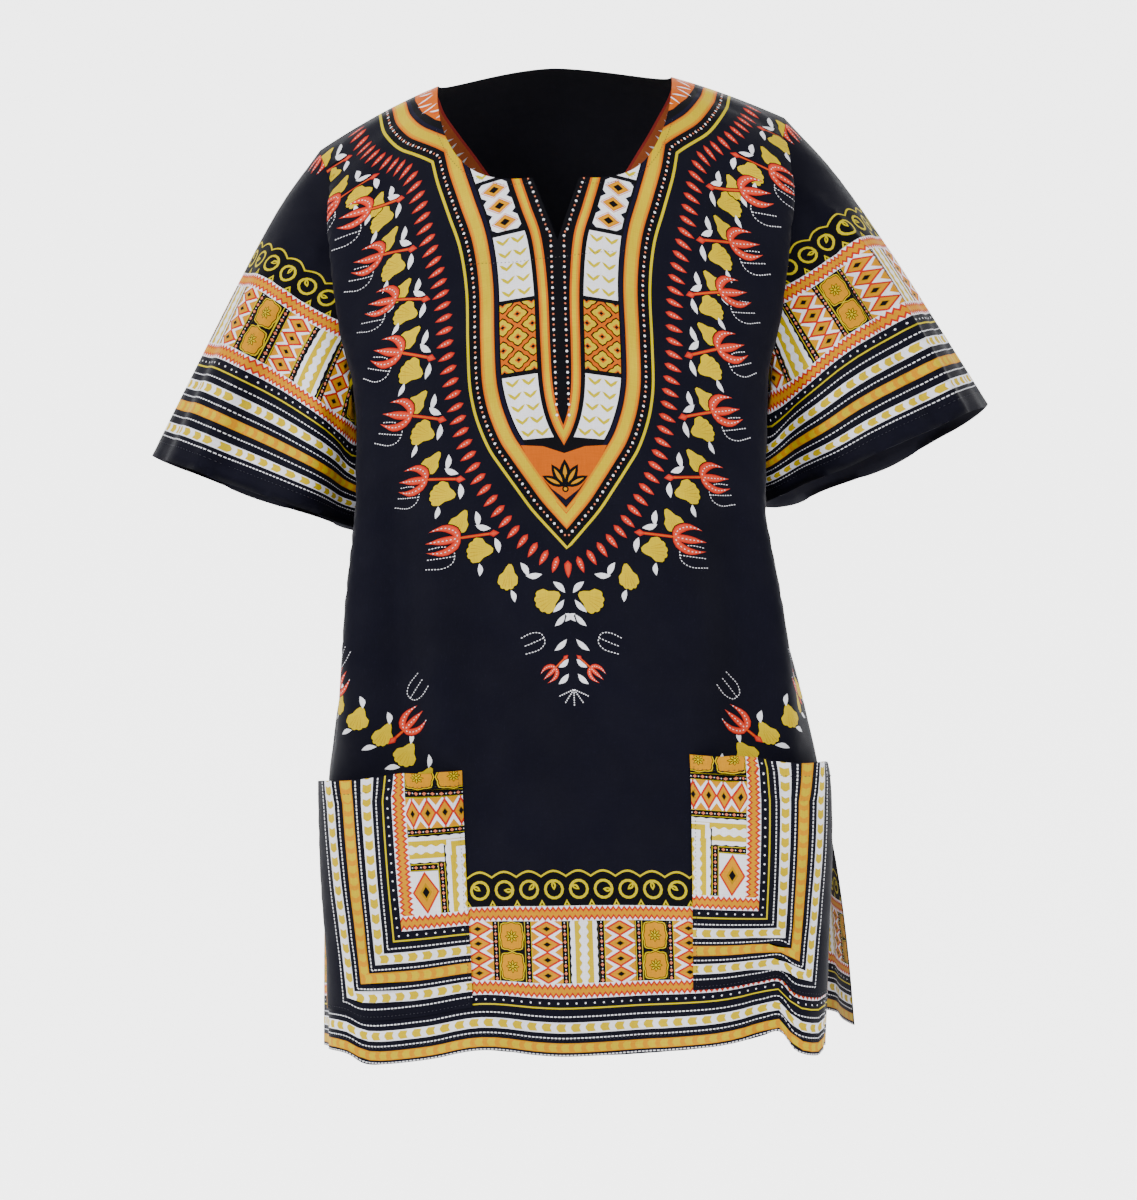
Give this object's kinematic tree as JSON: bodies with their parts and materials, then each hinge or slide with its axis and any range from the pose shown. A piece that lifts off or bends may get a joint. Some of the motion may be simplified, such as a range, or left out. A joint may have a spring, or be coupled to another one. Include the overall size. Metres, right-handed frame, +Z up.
{
  "type": "dashiki shirt",
  "caption": "Loose pullover dashiki shirt in worn shape: round neck with a short V slit, wide elbow-length sleeves, patch pockets and side slits, in printed cotton.",
  "frame": {"origin": "between the shoulders, on the line over which the cloth hangs", "axes": "+Z up, the front faces -Y, +X is to the viewer's right as the front is seen"},
  "size_m": [0.672, 0.2595, 0.786],
  "materials": {
    "printed_cotton_front": "matt plain-weave cotton, roller printed",
    "printed_cotton_back": "matt plain-weave cotton, roller printed",
    "printed_cotton_sleeve_left": "matt plain-weave cotton, roller printed",
    "printed_cotton_sleeve_right": "matt plain-weave cotton, roller printed",
    "printed_cotton_pocket_left": "matt plain-weave cotton, roller printed",
    "printed_cotton_pocket_right": "matt plain-weave cotton, roller printed"
  },
  "bodies": {
    "root": {"front": "printed_cotton_front", "back": "printed_cotton_back", "sleeve_left": "printed_cotton_sleeve_left", "sleeve_right": "printed_cotton_sleeve_right", "pocket_left": "printed_cotton_pocket_left", "pocket_right": "printed_cotton_pocket_right"}
  },
  "joints": []
}
